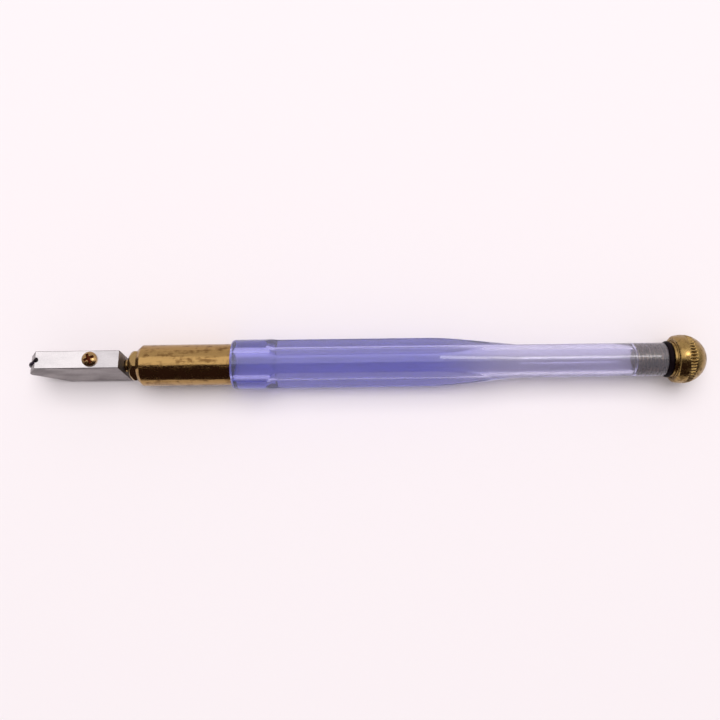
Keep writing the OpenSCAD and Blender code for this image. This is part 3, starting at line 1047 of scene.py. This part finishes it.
@dataclass
class BallCap:
    """The brass ball with its knurled band, its screwed stem and the ring under it."""

    ball_r: float = 6.4
    ball_cut: float = 6.0
    neck_l: float = 0.7
    neck_r: float = 4.55
    neck_edge: float = 0.05
    cove_r: float = 0.28
    cove_step: float = 0.22
    ball_start: float = 0.04
    stem_r: float = 3.0
    stem_edge: float = 0.46
    stem_edge_l: float = 0.2
    seal_r: float = 0.75
    knurl_count: int = 46
    knurl_offset: float = 1.15
    knurl_width: float = 1.9
    knurl_depth: float = 0.32
    knurl_sharpness: float = 1.6
    knurl_fade: float = 3.0
    knurl_margin: float = 1.35
    thread_pitch: float = 1.0
    thread_depth: float = 0.42
    columns_a_groove: int = 10
    rows_a_pitch: int = 16
    stem_sides: int = 72
    crease: float = 50.0

    def measure(self) -> None:
        """Reads the cap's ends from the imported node."""
        self.stem_front = low("ball_cap").x
        self.end = high("ball_cap").x
        self.ball_x = self.end - self.ball_r
        self.face = self.ball_x - self.neck_l - math.sqrt(self.ball_r ** 2 - self.ball_cut ** 2)

    def ball_outline(self) -> list[Point]:
        """Gives the section of the neck, the cove and the ball."""
        cove_x = self.face + self.neck_l
        centre = self.neck_r + self.cove_r
        cove = [(centre - self.cove_r * math.cos(a), cove_x + self.cove_r * math.sin(a))
                for a in np.linspace(0, math.pi, 9)]
        cove.append((self.ball_cut - self.cove_step, cove_x))
        start = math.asin(self.ball_cut / self.ball_r) + self.ball_start
        middle = math.pi / 2 + math.asin(self.knurl_offset / self.ball_r)
        reach = self.knurl_width / 2 / self.ball_r * self.knurl_margin
        turns = np.concatenate([np.linspace(start, middle - reach, 16)[:-1],
                                np.linspace(middle - reach, middle + reach, 17)[:-1],
                                np.linspace(middle + reach, math.pi, 22)])
        ball = [(self.ball_r * math.sin(a), self.ball_x - self.ball_r * math.cos(a)) for a in turns]
        ball[-1] = (0.0, self.end)
        neck = [(0.0, self.face), (self.stem_r, self.face), (self.neck_r - self.neck_edge, self.face),
                (self.neck_r, self.face + self.neck_edge)]
        return neck + cove + ball

    def knurl_rule(self) -> Rule:
        """Gives the tree that cuts the short grooves round the ball.

        Returns:
            The rule, with the grooves' number, place, length and depth as its inputs.
        """
        rule = Rule("knurl_rule", {
            "Grooves": self.knurl_count, "Band centre": (self.ball_x + self.knurl_offset) * MM,
            "Band width": self.knurl_width * MM, "Groove depth": self.knurl_depth * MM})
        maths, size = rule.math, rule.size
        x, angle, radius = rule.cylinder_place()
        wave = maths("COSINE", maths("MULTIPLY", angle, size("Grooves")))
        rise = maths("MULTIPLY", maths("ADD", wave, 1.0), 0.5)
        groove = maths("POWER", rise, self.knurl_sharpness)
        off = rule.share(x, size("Band centre"), size("Band width"))
        far = maths("ABSOLUTE", maths("MULTIPLY", off, 2.0))
        bowl = maths("SUBTRACT", 1.0, maths("POWER", far, self.knurl_fade))
        window = maths("MAXIMUM", bowl, 0.0)
        cut = maths("MULTIPLY", maths("MULTIPLY", groove, window), size("Groove depth"))
        rule.finish(rule.set_radius(angle, maths("SUBTRACT", radius, cut), x), CAP_BRASS.make())
        return rule

    def stem_outline(self) -> list[Point]:
        """Gives the section of the stem, in steps fine enough for its thread."""
        front = [(0.0, self.stem_front), (self.stem_r - self.stem_edge, self.stem_front)]
        shoulder = self.stem_front + self.stem_edge_l
        rows = int((self.face - self.stem_front - self.stem_edge_l) / self.thread_pitch * self.rows_a_pitch)
        return front + evenly(self.stem_r, shoulder, self.face, rows, ends=True) + [(0.0, self.face)]

    def thread_rule(self) -> Rule:
        """Gives the tree that cuts a helical thread along the stem.

        Returns:
            The rule, with the thread's pitch, depth and ends as its inputs.
        """
        fade = self.stem_edge_l / 2
        rule = Rule("thread_rule", {
            "Pitch": self.thread_pitch * MM, "Thread depth": self.thread_depth * MM,
            "Thread start": (self.stem_front + fade) * MM, "Thread end": self.face * MM,
            "Fade": fade * MM})
        maths, size = rule.math, rule.size
        x, angle, radius = rule.cylinder_place()
        flank = thread_flank(rule, x, angle, size("Pitch"))
        rise = rule.share(x, size("Thread start"), size("Fade"))
        fall = rule.share(size("Thread end"), x, size("Fade"))
        window = rule.held(maths("MINIMUM", rise, fall))
        cut = maths("MULTIPLY", maths("MULTIPLY", flank, window), size("Thread depth"))
        rule.finish(rule.set_radius(angle, maths("SUBTRACT", radius, cut), x), STEM_BRASS.make())
        return rule

    def build(self) -> None:
        """Builds the ball, its stem and its sealing ring."""
        self.measure()
        ball = turned("ball", self.ball_outline(), self.knurl_count * self.columns_a_groove)
        knurled = smooth(self.knurl_rule().apply(ball), self.crease)
        settle(knurled, Body.CAP, CAP_BRASS, "ball_cap")
        stem = turned("screwed_stem", self.stem_outline(), self.stem_sides)
        settle(smooth(self.thread_rule().apply(stem), self.crease), Body.CAP, STEM_BRASS)
        middle = (low("cap_seal") + high("cap_seal")) / 2
        ring = seal("cap_ring", high("cap_seal").z - self.seal_r, self.seal_r, middle.x)
        settle(ring, Body.CAP_RING, SEAL_RUBBER, "cap_seal")


# ---------------------------------------------------------------- the studio


@dataclass
class Studio:
    """The pale floor, the soft lights and the camera."""

    floor_half: float = 1300.0
    floor_colour: Colour = (0.93, 0.855, 0.88)
    world_colour: Colour = (1.0, 0.985, 0.99)
    world_strength: float = 0.45
    backdrop: Colour = (0.95, 0.87, 0.89)
    sky_r: float = 700.0
    sky_border: float = 2.5
    sky_middle: float = 48.0
    sky_end: float = 90.0
    camera_place: tuple[float, float, float] = (46.9, 0.78, 199.65)
    camera_lens: float = 37.76
    camera_turn: tuple[float, float] = (0.712, -0.44)

    def build_floor(self) -> None:
        """Builds the floor under the tool's lowest point."""
        half, z = self.floor_half * MM, CAD_BOX[0][2]
        corners = [(-half, -half, z), (half, -half, z), (half, half, z), (-half, half, z)]
        floor = new_surface("floor", corners, [(0, 1, 2, 3)])
        floor.data.materials.append(Matt("pale_floor", "", self.floor_colour, 0.8).make())

    def build_sky(self, name: str, start: float, end: float, glow: Colour, nearness: float = 1.0,
                  run: tuple[float, float] = (-1.6, 1.6)) -> None:
        """Bends a card over the tool, which shows only in what shines.

        Args:
            name: the card's name.
            start: the angle of its first edge from straight up, towards +Y, in degrees.
            end: the angle of its other edge.
            glow: the light that it gives off.
            nearness: its distance from the tool, as a share of the sky's.
            run: the places of its two ends along X, in metres.
        """
        steps = 12
        angles = [math.radians(start + (end - start) * k / steps) for k in range(steps + 1)]
        radius = self.sky_r * nearness * MM
        points = [(x, radius * math.sin(a), radius * math.cos(a)) for a in angles for x in run]
        faces = [(2 * k, 2 * k + 1, 2 * k + 3, 2 * k + 2) for k in range(steps)]
        card = new_surface(name, points, faces)
        shader = Shader(name)
        shader.set(Base_Color=(0, 0, 0, 1), Specular_IOR_Level=0.0, Emission_Color=(*glow, 1),
                   Emission_Strength=1.0)
        card.data.materials.append(shader.material)
        card.visible_camera = False
        card.visible_shadow = False
        card.visible_diffuse = False

    def add_light(self, name: str, place: Sequence[float], aim: Sequence[float],
                  size: Sequence[float], power: float) -> None:
        """Adds a soft rectangular light that doesn't show in what shines.

        Args:
            name: the light's name.
            place: where it hangs, in millimetres.
            aim: the point that it faces.
            size: its width and height.
            power: its power in watts.
        """
        lamp = bpy.data.lights.new(name, "AREA")
        lamp.shape = "RECTANGLE"
        lamp.size, lamp.size_y = size[0] * MM, size[1] * MM
        lamp.energy = power
        holder = bpy.data.objects.new(name, lamp)
        holder.location = Vector(place) * MM
        holder.rotation_euler = (Vector(aim) - Vector(place)).to_track_quat("-Z", "Y").to_euler()
        holder.visible_glossy = False
        bpy.context.scene.collection.objects.link(holder)

    def build_lights(self) -> None:
        """Lights the tool from its far side, where the sky is bright; the near side's is dark."""
        world = bpy.data.worlds.new("studio")
        world.use_nodes = True
        tree = world.node_tree
        light = tree.nodes["Background"]
        light.inputs["Color"].default_value = (*self.world_colour, 1)
        light.inputs["Strength"].default_value = self.world_strength
        seen = tree.nodes.new("ShaderNodeBackground")
        seen.inputs["Color"].default_value = (*self.backdrop, 1)
        path = tree.nodes.new("ShaderNodeLightPath")
        mix = tree.nodes.new("ShaderNodeMixShader")
        tree.links.new(path.outputs["Is Camera Ray"], mix.inputs[0])
        tree.links.new(light.outputs[0], mix.inputs[1])
        tree.links.new(seen.outputs[0], mix.inputs[2])
        tree.links.new(mix.outputs[0], tree.nodes["World Output"].inputs["Surface"])
        bpy.context.scene.world = world
        border, middle, end = self.sky_border, self.sky_middle, self.sky_end
        self.build_sky("high_bright_sky", border, middle, glow=(1.5, 1.45, 1.46))
        self.build_sky("low_bright_sky", middle, end, glow=(0.9, 0.85, 0.86))
        self.build_sky("dark_sky", -end, border, glow=(0.045, 0.025, 0.03))
        self.build_sky("bright_pane", start=15, end=29, glow=(7.5, 7.2, 7.0), nearness=0.96,
                       run=(0.2, 0.42))
        self.add_light("window", place=(45, 1000, 2300), aim=(45, 0, 0), size=(2400, 1800), power=52)

    def build_camera(self) -> None:
        """Puts the camera above the tool, looking down with the tool's length across the view."""
        lens = bpy.data.cameras.new("camera")
        lens.lens = self.camera_lens
        lens.sensor_width = 36.0
        lens.clip_start = 0.005
        camera = bpy.data.objects.new("camera", lens)
        turn = (Matrix.Rotation(math.radians(self.camera_turn[0]), 4, "Z")
                @ Matrix.Rotation(math.radians(self.camera_turn[1]), 4, "Y")).transposed()
        camera.matrix_world = Matrix.Translation(Vector(self.camera_place) * MM) @ turn
        bpy.context.scene.collection.objects.link(camera)
        bpy.context.scene.camera = camera

    def build(self) -> None:
        """Builds the studio."""
        self.build_camera()
        self.build_floor()
        self.build_lights()
        bpy.context.scene.view_settings.view_transform = "Standard"


def main() -> None:
    """Builds the tool's sub-assemblies in order, then the studio."""
    logging.basicConfig(level=logging.INFO, format="%(name)s: %(message)s")
    for part in (CuttingHead(), Nose(), ReturnSpring(), Barrel(), Handle(), BallCap(), Studio()):
        LOG.info("building %s", type(part).__name__)
        part.build()


if __name__ == "__main__":
    main()
